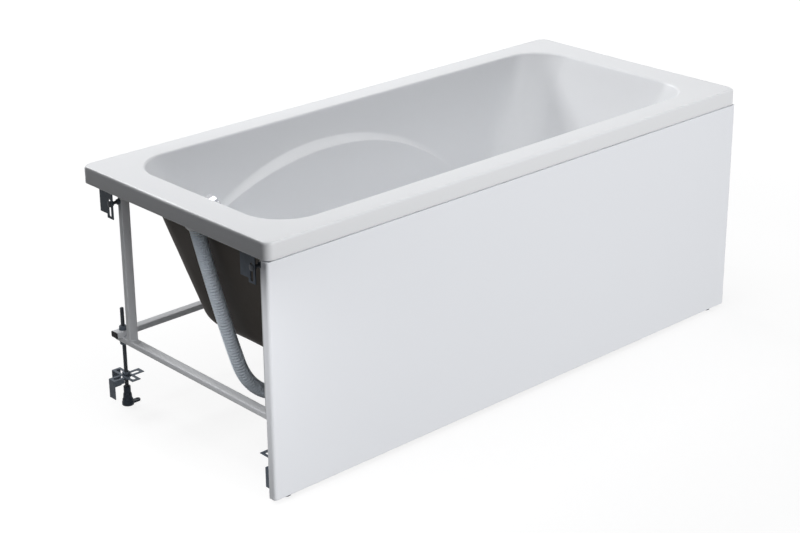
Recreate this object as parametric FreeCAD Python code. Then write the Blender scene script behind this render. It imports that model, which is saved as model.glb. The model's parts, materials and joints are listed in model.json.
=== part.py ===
import FreeCAD, Part
import math
import os

V = FreeCAD.Vector

# Bathtub on a levelling frame. Floor at z = 0, rim centred on the origin, drain end at -X, front panel at -Y.
LENGTH = 1600.0
WIDTH = 700.0
RIM_TOP = 630.0
OVERRUN = 5.0

# Acrylic rim and basin
ACRYLIC = 5.0
RESIN = 5.0
SKIRT = 42.0
RIM_CORNER = 20.0
RIM_EDGE = 7.0
LIP_ROUND = 10.0
LEFT_RIM = 84.0
RIGHT_RIM = 88.0
SIDE_RIM = 66.0
OPEN_CORNER = 110.0
FLOOR_ROUND = 45.0
LEFT_SLOPE = math.radians(18.0)
RIGHT_SLOPE = math.radians(30.0)
SIDE_SLOPE = math.radians(8.0)

# Armrest arch, where the lower wall stands inward
ARCH_X = -130.0
ARCH_TOP_DROP = 70.0
ARCH_RADIUS = 690.0
ARM_REACH = 480.0
ARM_DEPTH = 45.0
ARM_ROUND = 10.0
ARM_SINK = 0.5
arm_round_share = 0.5

# Frame of rectangular steel tube
TUBE_WIDE = 25.0
TUBE_HIGH = 15.0
TUBE_WALL = 1.5
TUBE_ROUND = 3.0
FRAME_TOP = 190.0
END_INSET = 50.0
BACK_LEG_INSET = 57.0
FRONT_LEG_INSET = 27.0
POST_STEP = 39.0
LONG_TUBE_END = 25.0
CROSS_TUBE_END = 15.0
INNER_TUBE_INSET = 80.0
CAP_HEAD = 2.0
CAP_PLUG = 8.0
CAP_CLEAR = 0.1

# Board under the basin floor and its screws
BOARD = 15.0
BOARD_DRAIN_GAP = 8.0
BOARD_END_GAP = 142.0
BOARD_SIDE_GAP = 65.0
SCREW_INSET = 40.0
SCREW_SHANK = 2.0
SCREW_HEAD = 4.5
SCREW_HEAD_HIGH = 3.0
SCREW_BITE = 10.0
SCREW_CLEAR = 0.3

# Battens under the rim ends
BATTEN = 14.0
BATTEN_WIDE = 52.0
BATTEN_END_GAP = 55.0
BATTEN_GAP = 3.0

# Front panel
PANEL_WALL = 4.0
PANEL_DEPTH = 20.0
PANEL_BOTTOM = 10.0
PANEL_SEAM = 2.0
PANEL_ROUND = 8.0
PANEL_EDGE = 2.5
PANEL_FOOT_LIP = 7.0
PANEL_TONGUE = 3.7
PANEL_TONGUE_HIGH = 18.0
PANEL_TONGUE_INSET = 5.0
PANEL_FIT = 0.3

# Hangers behind the rim skirt
HANGER_WALL = 2.5
HANGER_WIDE = 52.0
HANGER_TONGUE = 24.0
HANGER_DROP = 24.0
HANGER_HEAD_HIGH = 79.0
HANGER_FOOT_HIGH = 10.0
HANGER_INSET = 10.0
HANGER_SLOT = 9.0
HANGER_SLOT_HIGH = 44.0
HANGER_SLOT_FOOT = 5.0
END_BOLT_UP = 37.0
PANEL_BOLT_UP = 16.0
BOLT_RADIUS = 4.0
BOLT_CLEAR = 0.25
BOLT_TAIL = 2.0
BOLT_HEAD_RADIUS = 8.0
BOLT_HEAD_HIGH = 3.0
BOLT_NUT_FLATS = 13.0
BOLT_NUT_HIGH = 6.5

# Levelling legs
ROD_RADIUS = 5.0
ROD_ABOVE = 58.0
ROD_GRIP = 26.0
ROD_CLEAR = 0.25
NUT_CLEAR = 0.1
NUT_FLATS = 17.0
NUT_HIGH = 8.0
WASHER_RADIUS = 10.5
WASHER_HIGH = 2.0
FOOT_RADIUS = 15.0
FOOT_HIGH = 50.0
foot_outline_shares = ((1.0, 0.0), (1.0, 0.16), (0.9, 0.2), (0.9, 0.3), (0.77, 0.36), (0.7, 0.6), (0.6, 0.64),
                       (0.6, 1.0))
EAR_REACH = 29.0
EAR_RADIUS = 7.0
EAR_HIGH = 5.0
EAR_HOLE = 2.75
CLIP_RISE = 28.0
CLIP_WALL = 2.0
CLIP_WIDE = 25.0
CLIP_LENGTH = 90.0
CLIP_FLANGE = 50.0
CLIP_LIP = 12.0
CLIP_LIP_LENGTH = 30.0
CLIP_SLOT_START = 12.0
CLIP_SLOT_END = 76.0
END_FLANGE_BACK = 6.0
BACK_FLANGE_BACK = 12.0
FRONT_FLANGE_GAP = 1.0

# Overflow, on the sloping wall at the drain end
OVERFLOW_DROP = 46.0
OVERFLOW_HOLE = 26.0
HOLE_FIT = 1.0
NECK_WALL = 6.0
FLANGE_RADIUS = 36.0
FLANGE_HIGH = 3.5
GASKET_HIGH = 2.0
CHAMBER_SIDE = 5.0
CHAMBER_WALL = 3.0
COVER_RADIUS = 33.0
COVER_HIGH = 4.0
COVER_BORE = 17.0
COVER_SPOKE = 5.0
HUB_RADIUS = 8.0
KNOB_RADIUS = 34.0
KNOB_HIGH = 34.0
KNOB_GAP = 5.0
KNOB_WALL = 3.0
KNOB_ROUND = 6.0
SHAFT_RADIUS = 4.0
SHAFT_CLEAR = 0.08
SHAFT_TAIL = 6.0

# Ribbed hose from the overflow to the trap
HOSE_RADIUS = 18.0
RIB_DEEP = 1.1
HOSE_WALL = 1.2
HOSE_GAP = 0.5
HOSE_START_GAP = 2.0
HOSE_LOW = 42.0
HOSE_BEND = 150.0
HOSE_RIBS = 96
rib_station_shares = (0.0, 0.2, 0.55, 0.75)
SPIGOT_FIT = 0.2
SPIGOT_WALL = 3.0
SPIGOT_GRIP = 24.0
HOSE_NUT_WALL = 3.8
HOSE_NUT_HIGH = 26.0
HOSE_NUT_CLEAR = 0.2
HOSE_NUT_COLLAR = 4.0

# Drain, pop-up plug and trap
DRAIN_HOLE = 26.0
DRAIN_REACH = 40.0
DRAIN_FLANGE_RADIUS = 35.0
DRAIN_FLANGE_HIGH = 3.0
DRAIN_NECK_WALL = 5.0
DRAIN_NECK_DEEP = 26.0
DRAIN_BODY_RADIUS = 38.0
DRAIN_BODY_HIGH = 6.0
DRAIN_CUP_DEEP = 26.0
DRAIN_CUP_WALL = 3.0
DRAIN_FIT = 0.2
PIPE_RADIUS = 20.0
PIPE_WALL = 3.0
SOCKET_WALL = 3.2
SOCKET_CLEAR = 0.2
SOCKET_DEEP = 30.0
SOCKET_SHOULDER = 4.0
TRAP_LEAD = 28.5
PIPE_BEND = 37.5
OUTLET_BEND = 26.0
OUTLET_RISE = 4.0
OUTLET_LENGTH = 184.0
STOP_STEP = 2.5
STOP_HIGH = 4.0
SLIP_NUT_WALL = 4.4
SLIP_NUT_HIGH = 24.0
SLIP_NUT_OVER = 8.0
CLEANOUT_RADIUS = 14.0
CLEANOUT_REACH = 34.0
CLEANOUT_CAP_HIGH = 10.0
CLEANOUT_CAP_SKIRT = 8.0
CLEANOUT_WALL = 3.0
CLEANOUT_CLEAR = 0.2
PLUG_RADIUS = 27.0
PLUG_HIGH = 5.0
PLUG_ROUND = 2.0
PLUG_GAP = 0.4
PLUG_TAIL = 14.6
SPOKE_WIDE = 4.0
SPOKE_HIGH = 6.0

# Places that follow from the sizes above
HALF_LENGTH = LENGTH / 2
HALF_WIDTH = WIDTH / 2
SKIRT_FOOT = RIM_TOP - SKIRT
FLOOR_Z = FRAME_TOP + BOARD + RESIN + ACRYLIC
BASIN_FOOT = FRAME_TOP + BOARD
CROSS_FOOT = FRAME_TOP - TUBE_HIGH
LONG_TOP = FRAME_TOP + TUBE_HIGH
POST_TOP = RIM_TOP - ACRYLIC - BATTEN
WALL = ACRYLIC + RESIN
OPEN_LEFT = HALF_LENGTH - LEFT_RIM
OPEN_RIGHT = HALF_LENGTH - RIGHT_RIM
OPEN_HALF = HALF_WIDTH - SIDE_RIM
LEG_X = HALF_LENGTH - END_INSET
BACK_LEG_Y = HALF_WIDTH - BACK_LEG_INSET
FRONT_LEG_Y = FRONT_LEG_INSET - HALF_WIDTH
BACK_POST_Y = BACK_LEG_Y - POST_STEP
FRONT_POST_Y = FRONT_LEG_Y + POST_STEP
ROD_SEAT = FOOT_HIGH - ROD_GRIP
ROD_TOP = LONG_TOP + ROD_ABOVE
CLIP_Z = FOOT_HIGH + CLIP_RISE
HANGER_TOP = RIM_TOP - HANGER_DROP
HANGER_STEP = HANGER_TOP - HANGER_HEAD_HIGH
HANGER_BOTTOM = HANGER_STEP - HANGER_FOOT_HIGH
END_BOLT_Z = HANGER_BOTTOM + END_BOLT_UP
PANEL_BOLT_Z = HANGER_BOTTOM + PANEL_BOLT_UP
NECK_RADIUS = OVERFLOW_HOLE - HOLE_FIT
NECK_BORE = NECK_RADIUS - NECK_WALL
CHAMBER_RADIUS = NECK_BORE + CHAMBER_SIDE
HOSE_VALLEY = HOSE_RADIUS - RIB_DEEP
HOSE_BORE = HOSE_VALLEY - HOSE_WALL
HOSE_OFF_WALL = GASKET_HIGH + FLANGE_HIGH + HOSE_RADIUS + HOSE_GAP
HOSE_START = CHAMBER_RADIUS + HOSE_START_GAP
SPIGOT_RADIUS = HOSE_BORE - SPIGOT_FIT
SPIGOT_BORE = SPIGOT_RADIUS - SPIGOT_WALL
DRAIN_NECK = DRAIN_HOLE - HOLE_FIT
DRAIN_NECK_BORE = DRAIN_NECK - DRAIN_NECK_WALL
PIPE_BORE = PIPE_RADIUS - PIPE_WALL
SOCKET_BORE = PIPE_RADIUS + SOCKET_CLEAR
SOCKET_RADIUS = SOCKET_BORE + SOCKET_WALL
UP = V(0, 0, 1)
ALONG = V(1, 0, 0)
ACROSS = V(0, 1, 0)
QUARTER_TURN = math.pi / 2
UPRIGHT = 90.0
THIRD_TURN = 120.0
HALF_TURN = 180.0
FULL_TURN = 360.0
SIXTH_TURN = math.pi / 3
LEVEL_TOL = 1e-3
half_share = 0.5

nodes = {}


def keep(name, *solids):
    nodes[name] = Part.makeCompound(list(solids))


def box(x0, x1, y0, y1, z0, z1):
    return Part.makeBox(x1 - x0, y1 - y0, z1 - z0, V(x0, y0, z0))


def cylinder(radius, start, end):
    run = end - start
    return Part.makeCylinder(radius, run.Length, start, run)


def bore(radius, start, end):
    over = (end - start).normalize() * OVERRUN
    return cylinder(radius, start - over, end + over)


def ring(outer, inner, start, end):
    return cylinder(outer, start, end).cut(bore(inner, start, end))


def elbow(radius, start, ahead, centre, axis, turn):
    return Part.Face(Part.Wire(Part.Circle(start, ahead, radius).toShape())).revolve(centre, axis, turn)


def rounded_loop(x0, x1, y0, y1, radius, z):
    centres = ((x1 - radius, y1 - radius), (x0 + radius, y1 - radius),
               (x0 + radius, y0 + radius), (x1 - radius, y0 + radius))
    arcs = []
    for quarter, (cx, cy) in enumerate(centres):
        turns = [(quarter + share) * QUARTER_TURN for share in (0, half_share, 1)]
        arcs.append([V(cx + radius * math.cos(turn), cy + radius * math.sin(turn), z) for turn in turns])
    edges = []
    for here, after in zip(arcs, arcs[1:] + arcs[:1]):
        edges.append(Part.Arc(*here).toShape())
        edges.append(Part.LineSegment(here[-1], after[0]).toShape())
    return Part.Wire(edges)


def slab(x0, x1, y0, y1, z0, z1, radius):
    return Part.Face(rounded_loop(x0, x1, y0, y1, radius, z0)).extrude(UP * (z1 - z0))


def stadium(start, end, radius, run):
    ahead = (end - start).normalize() * radius
    aside = run.cross(ahead).normalize() * radius
    edges = [Part.LineSegment(start + aside, end + aside).toShape(),
             Part.Arc(end + aside, end + ahead, end - aside).toShape(),
             Part.LineSegment(end - aside, start - aside).toShape(),
             Part.Arc(start - aside, start - ahead, start + aside).toShape()]
    return Part.Face(Part.Wire(edges)).extrude(run)


def hex_nut(flats, hole, start, end):
    reach = flats / math.sqrt(3)
    turns = [turn * SIXTH_TURN for turn in range(7)]
    points = [V(reach * math.cos(turn), reach * math.sin(turn), 0) for turn in turns]
    run = end - start
    body = Part.Face(Part.makePolygon(points)).extrude(UP * run.Length)
    body.Placement = FreeCAD.Placement(start, FreeCAD.Rotation(UP, run))
    return body.cut(bore(hole, start, end))


def edges_at_height(shape, z):
    return [edge for edge in shape.Edges
            if abs(edge.BoundBox.ZMin - z) + abs(edge.BoundBox.ZMax - z) < LEVEL_TOL]


# Basin: a hollow with flat sloping walls, grown outward by the thickness of the layers
def wall_half(depth, off):
    return OPEN_HALF + off / math.cos(SIDE_SLOPE) - depth * math.tan(SIDE_SLOPE)


def wall_ends(depth, off):
    left = -OPEN_LEFT - off / math.cos(LEFT_SLOPE) + depth * math.tan(LEFT_SLOPE)
    right = OPEN_RIGHT + off / math.cos(RIGHT_SLOPE) - depth * math.tan(RIGHT_SLOPE)
    return left, right


def slanted_block(off):
    foot = FLOOR_Z - off
    low_half = wall_half(RIM_TOP - foot, off)
    high_half = wall_half(0, off)
    low_left, low_right = wall_ends(RIM_TOP - foot, off)
    high_left, high_right = wall_ends(0, off)
    block = Part.makeWedge(low_left, foot, -low_half, -high_half, high_left,
                           low_right, RIM_TOP, low_half, high_half, high_right)
    return block.rotate(V(), ALONG, UPRIGHT)


def slanted_edges(shape):
    return [edge for edge in shape.Edges if edge.BoundBox.ZLength > LEVEL_TOL]


# The lower wall follows a wide arc that stands inward of the flat wall at mid-length
def arm_inset(off, foot):
    radius = (ARM_REACH ** 2 + ARM_DEPTH ** 2) / (2 * ARM_DEPTH) - off
    inset = box(-LENGTH, LENGTH, -WIDTH, WIDTH, foot, RIM_TOP + OVERRUN)
    for side in (-1, 1):
        down = V(0, -side * math.sin(SIDE_SLOPE), -math.cos(SIDE_SLOPE))
        outward = V(0, side * math.cos(SIDE_SLOPE), -math.sin(SIDE_SLOPE))
        crest = V(ARCH_X, side * (wall_half(0, off) - ARM_DEPTH), RIM_TOP)
        axis = crest + outward * radius
        inset = inset.cut(cylinder(radius, axis - down * LENGTH, axis + down * LENGTH))
    return inset


# Pad over the arch, rounded along its crest; its edges end on the level of the arch's centre, below the floor
def arm_pads(off):
    centre = V(ARCH_X, -WIDTH, RIM_TOP - ARCH_TOP_DROP - ARCH_RADIUS)
    arch = cylinder(ARCH_RADIUS - off, centre, centre + ACROSS * (WIDTH + WIDTH))
    arch = arch.cut(box(-LENGTH, LENGTH, -LENGTH, LENGTH, centre.z - LENGTH, centre.z))
    pads = arch.cut(arm_inset(off, centre.z - OVERRUN))
    crests = [edge for edge in slanted_edges(pads)
              if edge.BoundBox.XLength > LEVEL_TOL and edge.BoundBox.YLength > LEVEL_TOL]
    return pads.makeFillet(ARM_ROUND - off * arm_round_share, crests)


# Foot of the pads: the round between the inward wall and the floor
def arm_feet(off):
    foot = FLOOR_Z - off - ARM_SINK
    inset = arm_inset(off, foot)
    curved = [edge for edge in edges_at_height(inset, foot) if edge.Curve.TypeId != "Part::GeomLine"]
    inset = inset.makeFillet(FLOOR_ROUND + off, curved)
    low = box(ARCH_X - ARM_REACH, ARCH_X + ARM_REACH, -WIDTH, WIDTH, foot, foot + FLOOR_ROUND + off)
    return low.cut(inset)


def basin(off):
    body = slanted_block(off)
    body = body.makeFillet(OPEN_CORNER + off, slanted_edges(body))
    body = body.makeFillet(FLOOR_ROUND + off, edges_at_height(body, FLOOR_Z - off))
    return body.cut(arm_pads(off)).cut(arm_feet(off))


def lip_edges(shape):
    inside = []
    for edge in edges_at_height(shape, RIM_TOP):
        reach = edge.BoundBox
        short_of_ends = max(reach.XMax, -reach.XMin) < HALF_LENGTH - RIM_CORNER
        short_of_sides = max(reach.YMax, -reach.YMin) < HALF_WIDTH - RIM_CORNER
        if short_of_ends and short_of_sides:
            inside.append(edge)
    return inside


# Acrylic tub: rim with a turned-down skirt, joined to the basin wall
overflow_at = V(wall_ends(OVERFLOW_DROP, 0)[0], 0, RIM_TOP - OVERFLOW_DROP)
wall_turn = FreeCAD.Rotation(ACROSS, UPRIGHT - math.degrees(LEFT_SLOPE))
on_wall = FreeCAD.Placement(overflow_at, wall_turn)
inward = wall_turn.multVec(UP)
downhill = wall_turn.multVec(ALONG)

rim = slab(-HALF_LENGTH, HALF_LENGTH, -HALF_WIDTH, HALF_WIDTH, SKIRT_FOOT, RIM_TOP, RIM_CORNER)
rim = rim.makeFillet(RIM_EDGE, edges_at_height(rim, RIM_TOP))
under = slab(-HALF_LENGTH + ACRYLIC, HALF_LENGTH - ACRYLIC, -HALF_WIDTH + ACRYLIC, HALF_WIDTH - ACRYLIC,
             SKIRT_FOOT - OVERRUN, RIM_TOP - ACRYLIC, RIM_CORNER - ACRYLIC)
hollow = basin(0)
acrylic_out = basin(ACRYLIC)
resin_out = basin(WALL)

# Hose route: down along the end wall, then one wide bend to level above the floor
hose_axis = overflow_at - inward * (WALL + HOSE_OFF_WALL)
hose_top = hose_axis + downhill * HOSE_START
bend_from_z = HOSE_LOW + HOSE_BEND * (1 - math.sin(LEFT_SLOPE))
hose_straight = (hose_top.z - bend_from_z) / math.cos(LEFT_SLOPE)
bend_from = hose_top + downhill * hose_straight
bend_centre = bend_from + inward * HOSE_BEND
bend_turn = QUARTER_TURN - LEFT_SLOPE
bend_to = bend_centre - UP * HOSE_BEND
hose_tail = HOSE_RADIUS + HOSE_RADIUS
hose_end = bend_to + ALONG * hose_tail
hose_length = hose_straight + HOSE_BEND * bend_turn + hose_tail
DRAIN_X = hose_end.x + DRAIN_REACH
drain_at = V(DRAIN_X, 0, FLOOR_Z)

overflow_hole = bore(OVERFLOW_HOLE, overflow_at - inward * WALL, overflow_at)
drain_hole = bore(DRAIN_HOLE, drain_at - UP * WALL, drain_at)
tub = rim.cut(under).fuse(acrylic_out).cut(hollow).removeSplitter()
tub = tub.makeFillet(LIP_ROUND, lip_edges(tub))
keep("tub_shell", tub.cut(overflow_hole).cut(drain_hole))

# Resin layer on the outside of the basin, up to the rim plate
above = box(-LENGTH, LENGTH, -WIDTH, WIDTH, RIM_TOP - ACRYLIC, RIM_TOP + OVERRUN)
backing = resin_out.cut(above).cut(acrylic_out)
keep("resin_backing", backing.cut(overflow_hole).cut(drain_hole))

# Frame of rectangular tube: long tubes lie on the cross tubes, posts stand on the end cross tubes
TURNS = {"along": FreeCAD.Rotation(ALONG + ACROSS + UP, THIRD_TURN),
         "across": FreeCAD.Rotation(ALONG, -UPRIGHT),
         "up": FreeCAD.Rotation()}


def bar(way, start, length, inset):
    wide = TUBE_WIDE / 2 - inset
    high = TUBE_HIGH / 2 - inset
    body = slab(-wide, wide, -high, high, 0, length, TUBE_ROUND - inset)
    body.Placement = FreeCAD.Placement(start, TURNS[way])
    return body


def tube(way, start, length):
    over = TURNS[way].multVec(UP) * OVERRUN
    return bar(way, start, length, 0).cut(bar(way, start - over, length + OVERRUN + OVERRUN, TUBE_WALL))


def end_caps(way, start, length):
    ahead = TURNS[way].multVec(UP)
    fit = TUBE_WALL + CAP_CLEAR
    near = bar(way, start - ahead * CAP_HEAD, CAP_HEAD, 0).fuse(bar(way, start, CAP_PLUG, fit))
    end = start + ahead * length
    far = bar(way, end, CAP_HEAD, 0).fuse(bar(way, end - ahead * CAP_PLUG, CAP_PLUG, fit))
    return [near, far]


corners = {"front_left": (-1, FRONT_LEG_Y, FRONT_POST_Y), "front_right": (1, FRONT_LEG_Y, FRONT_POST_Y),
           "back_left": (-1, BACK_LEG_Y, BACK_POST_Y), "back_right": (1, BACK_LEG_Y, BACK_POST_Y)}
rod_holes = [bore(ROD_RADIUS + ROD_CLEAR, V(end * LEG_X, leg_y, CROSS_FOOT), V(end * LEG_X, leg_y, LONG_TOP))
             for end, leg_y, post_y in corners.values()]
long_length = 2 * (LEG_X + LONG_TUBE_END)
cross_length = BACK_LEG_Y - FRONT_LEG_Y + 2 * CROSS_TUBE_END
cross_start = FRONT_LEG_Y - CROSS_TUBE_END
cross_mid = FRAME_TOP - TUBE_HIGH / 2
caps = []
for name, leg_y in (("front_long_tube", FRONT_LEG_Y), ("back_long_tube", BACK_LEG_Y)):
    start = V(-LEG_X - LONG_TUBE_END, leg_y, FRAME_TOP + TUBE_HIGH / 2)
    keep(name, tube("along", start, long_length).cut(rod_holes))
    caps += end_caps("along", start, long_length)
for name, end in (("left_cross_tube", -1), ("right_cross_tube", 1)):
    start = V(end * LEG_X, cross_start, cross_mid)
    keep(name, tube("across", start, cross_length).cut(rod_holes))
    caps += end_caps("across", start, cross_length)

# Board under the floor, on two inner cross tubes, with a screw at each crossing
floor_depth = RIM_TOP - FLOOR_Z
board_left = DRAIN_X + DRAIN_BODY_RADIUS + BOARD_DRAIN_GAP
board_right = wall_ends(floor_depth, 0)[1] - BOARD_END_GAP
board_half = wall_half(floor_depth, 0) - BOARD_SIDE_GAP
board = box(board_left, board_right, -board_half, board_half, FRAME_TOP, BASIN_FOOT)
inner_tubes = []
screws = []
for tube_x in (board_left + INNER_TUBE_INSET, board_right - INNER_TUBE_INSET):
    start = V(tube_x, cross_start, cross_mid)
    crossing = tube("across", start, cross_length)
    caps += end_caps("across", start, cross_length)
    for side in (-1, 1):
        under_tube = V(tube_x, side * (board_half - SCREW_INSET), CROSS_FOOT)
        tip = under_tube + UP * (TUBE_HIGH + SCREW_BITE)
        crossing = crossing.cut(bore(SCREW_SHANK + SCREW_CLEAR, under_tube, under_tube + UP * TUBE_HIGH))
        board = board.cut(cylinder(SCREW_SHANK, under_tube, tip))
        head = cylinder(SCREW_HEAD, under_tube - UP * SCREW_HEAD_HIGH, under_tube)
        screws.append(head.fuse(cylinder(SCREW_SHANK, under_tube, tip)))
    inner_tubes.append(crossing)
keep("inner_cross_tubes", *inner_tubes)
keep("tube_end_caps", *caps)
keep("base_board", board)
keep("board_screws", *screws)

# Battens under the rim ends, which the posts push against
batten_out = HALF_LENGTH - ACRYLIC - BATTEN_GAP
batten_half = HALF_WIDTH - BATTEN_END_GAP
battens = []
for end in (-1, 1):
    x0, x1 = sorted((end * batten_out, end * (batten_out - BATTEN_WIDE)))
    battens.append(box(x0, x1, -batten_half, batten_half, POST_TOP, RIM_TOP - ACRYLIC))
keep("rim_battens", *battens)

# Front panel: a shallow tray whose tongue slots up behind the rim skirt
panel_front = -HALF_WIDTH
panel_back = panel_front + PANEL_DEPTH
panel_top = SKIRT_FOOT - PANEL_SEAM
tongue_out = panel_front + ACRYLIC + PANEL_FIT
tongue_in = tongue_out + PANEL_TONGUE
panel = box(-HALF_LENGTH, HALF_LENGTH, panel_front, panel_back, PANEL_BOTTOM, panel_top)
uprights = [edge for edge in panel.Edges
            if edge.BoundBox.ZLength > PANEL_DEPTH and edge.BoundBox.YMax < panel_front + LEVEL_TOL]
panel = panel.makeFillet(PANEL_ROUND, uprights)
rails = [edge for edge in panel.Edges
         if edge.BoundBox.ZLength < LEVEL_TOL and edge.BoundBox.YMin < panel_front + PANEL_ROUND / 2]
panel = panel.makeFillet(PANEL_EDGE, rails)
tray = HALF_LENGTH - PANEL_WALL
back_over = panel_back + OVERRUN
panel = panel.cut(box(-tray, tray, panel_front + PANEL_WALL, back_over, PANEL_BOTTOM + PANEL_WALL,
                      panel_top - PANEL_WALL))
panel = panel.cut(box(-tray, tray, panel_front + PANEL_FOOT_LIP, back_over, PANEL_BOTTOM - OVERRUN,
                      PANEL_BOTTOM + PANEL_WALL))
panel = panel.cut(box(-tray, tray, tongue_in, back_over, panel_top - PANEL_WALL, panel_top + OVERRUN))
tongue = HALF_LENGTH - RIM_CORNER - PANEL_TONGUE_INSET
panel = panel.fuse(box(-tongue, tongue, tongue_out, tongue_in, panel_top - PANEL_WALL,
                       SKIRT_FOOT + PANEL_TONGUE_HIGH))
keep("front_panel", panel)


# Hanger: stepped slotted plate that faces outward, on a bolt through its post
def hanger(face, outward, wide_way):
    run = outward * -HANGER_WALL
    side = wide_way * (HANGER_TONGUE / 2)
    far = side * -1 + wide_way * HANGER_WIDE
    foot = V(face.x, face.y, HANGER_BOTTOM)
    step = V(face.x, face.y, HANGER_STEP)
    top = V(face.x, face.y, HANGER_TOP)
    outline = [foot - side, foot + side, step + side, step + far, top + far, top - side, foot - side]
    plate = Part.Face(Part.makePolygon(outline)).extrude(run)
    slot_foot = foot + UP * (HANGER_SLOT_FOOT + HANGER_SLOT / 2)
    slot_head = slot_foot + UP * (HANGER_SLOT_HIGH - HANGER_SLOT)
    return plate.cut(stadium(slot_foot, slot_head, HANGER_SLOT / 2, run))


def hanger_bolt(face, outward, post_far):
    head = cylinder(BOLT_HEAD_RADIUS, face + outward * BOLT_HEAD_HIGH, face)
    return head.fuse(cylinder(BOLT_RADIUS, face, post_far - outward * (BOLT_NUT_HIGH + BOLT_TAIL)))


def hanger_nuts(face, outward, post_near, post_far):
    behind = face - outward * HANGER_WALL
    hole = BOLT_RADIUS + NUT_CLEAR
    high = outward * BOLT_NUT_HIGH
    return [hex_nut(BOLT_NUT_FLATS, hole, behind - high, behind),
            hex_nut(BOLT_NUT_FLATS, hole, post_near, post_near + high),
            hex_nut(BOLT_NUT_FLATS, hole, post_far - high, post_far)]


hanger_x = HALF_LENGTH - HANGER_INSET
panel_hanger_y = tongue_in + PANEL_FIT
end_hangers = []
panel_hangers = []
bolts = []
bolt_nuts = []
for name, (end, leg_y, post_y) in corners.items():
    post = tube("up", V(end * LEG_X, post_y, FRAME_TOP), POST_TOP - FRAME_TOP)
    outward = ALONG * end
    face = V(end * hanger_x, post_y, END_BOLT_Z)
    near = V(end * (LEG_X + TUBE_WIDE / 2), post_y, END_BOLT_Z)
    far = near - outward * TUBE_WIDE
    end_hangers.append(hanger(face, outward, ACROSS))
    bolts.append(hanger_bolt(face, outward, far))
    bolt_nuts += hanger_nuts(face, outward, near, far)
    post = post.cut(bore(BOLT_RADIUS + BOLT_CLEAR, far, near))
    if post_y < 0:
        front = ACROSS * -1
        face = V(end * LEG_X, panel_hanger_y, PANEL_BOLT_Z)
        near = V(end * LEG_X, post_y - TUBE_HIGH / 2, PANEL_BOLT_Z)
        far = near + ACROSS * TUBE_HIGH
        panel_hangers.append(hanger(face, front, ALONG * -end))
        bolts.append(hanger_bolt(face, front, far))
        bolt_nuts += hanger_nuts(face, front, near, far)
        post = post.cut(bore(BOLT_RADIUS + BOLT_CLEAR, near, far))
    keep(name + "_post", post)
keep("end_hangers", *end_hangers)
keep("panel_hangers", *panel_hangers)
keep("hanger_bolts", *bolts)
keep("hanger_nuts", *bolt_nuts)


# Levelling leg: threaded rod in a stepped foot, with two crossing clip plates clamped by nuts
def strip(start, end, across, run):
    return Part.Face(Part.makePolygon([start, end, end + across, start + across, start])).extrude(run)


def clip(at, outward, reach, z):
    across = UP.cross(outward)
    half = across * (CLIP_WIDE / 2)
    tip = at + outward * reach
    tip = V(tip.x, tip.y, z)
    plate = strip(tip - half, tip + half, outward * -CLIP_LENGTH, UP * CLIP_WALL)
    low = tip + UP * (CLIP_WALL - CLIP_FLANGE)
    flange = strip(low - half, low + half, outward * -CLIP_WALL, UP * CLIP_FLANGE)
    slot = stadium(tip - outward * CLIP_SLOT_START, tip - outward * CLIP_SLOT_END, ROD_RADIUS + ROD_CLEAR,
                   UP * CLIP_WALL)
    return plate.cut(slot).fuse(flange)


def clip_lip(at, outward, reach, z):
    inner = UP.cross(outward) * -outward.x
    edge = V(at.x, at.y, z) + outward * reach + inner * (CLIP_WIDE / 2)
    return strip(edge, edge - outward * CLIP_LIP_LENGTH, inner * -CLIP_WALL, UP * -CLIP_LIP)


def foot(at, inner):
    outline = [V(FOOT_RADIUS * across, 0, FOOT_HIGH * up) for across, up in foot_outline_shares]
    profile = [V()] + outline + [V(0, 0, FOOT_HIGH), V()]
    body = Part.Face(Part.makePolygon(profile)).revolve(V(), UP, FULL_TURN)
    hole = inner * EAR_REACH
    body = body.fuse(stadium(V(), hole, EAR_RADIUS, UP * EAR_HIGH))
    body = body.cut(bore(EAR_HOLE, hole, hole + UP * EAR_HIGH))
    body = body.cut(cylinder(ROD_RADIUS + NUT_CLEAR, UP * ROD_SEAT, UP * (FOOT_HIGH + OVERRUN)))
    return body.translate(at)


end_flange_reach = END_INSET - END_FLANGE_BACK
back_flange_reach = BACK_LEG_INSET - BACK_FLANGE_BACK
front_flange_reach = FRONT_LEG_INSET - PANEL_FOOT_LIP - FRONT_FLANGE_GAP
frame_nuts = []
frame_washers = []
for name, (end, leg_y, post_y) in corners.items():
    at = V(end * LEG_X, leg_y, 0)
    outward = ALONG * end
    side = ACROSS if leg_y > 0 else ACROSS * -1
    side_reach = back_flange_reach if leg_y > 0 else front_flange_reach
    keep(name + "_rod", cylinder(ROD_RADIUS, at + UP * ROD_SEAT, at + UP * ROD_TOP))
    keep(name + "_foot", foot(at, outward * -1))
    end_clip = clip(at, outward, end_flange_reach, CLIP_Z)
    keep(name + "_end_clip", end_clip.fuse(clip_lip(at, outward, end_flange_reach, CLIP_Z)))
    keep(name + "_side_clip", clip(at, side, side_reach, CLIP_Z + CLIP_WALL))
    hole = ROD_RADIUS + NUT_CLEAR
    plates_top = at + UP * (CLIP_Z + CLIP_WALL + CLIP_WALL)
    plates_foot = at + UP * CLIP_Z
    keep(name + "_clip_nuts", hex_nut(NUT_FLATS, hole, plates_top, plates_top + UP * NUT_HIGH),
         hex_nut(NUT_FLATS, hole, plates_foot - UP * NUT_HIGH, plates_foot))
    for seat, way in ((at + UP * LONG_TOP, UP), (at + UP * CROSS_FOOT, UP * -1)):
        on_washer = seat + way * WASHER_HIGH
        frame_washers.append(ring(WASHER_RADIUS, ROD_RADIUS + ROD_CLEAR, seat, on_washer))
        frame_nuts.append(hex_nut(NUT_FLATS, hole, on_washer, on_washer + way * NUT_HIGH))
keep("frame_nuts", *frame_nuts)
keep("frame_washers", *frame_washers)


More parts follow.
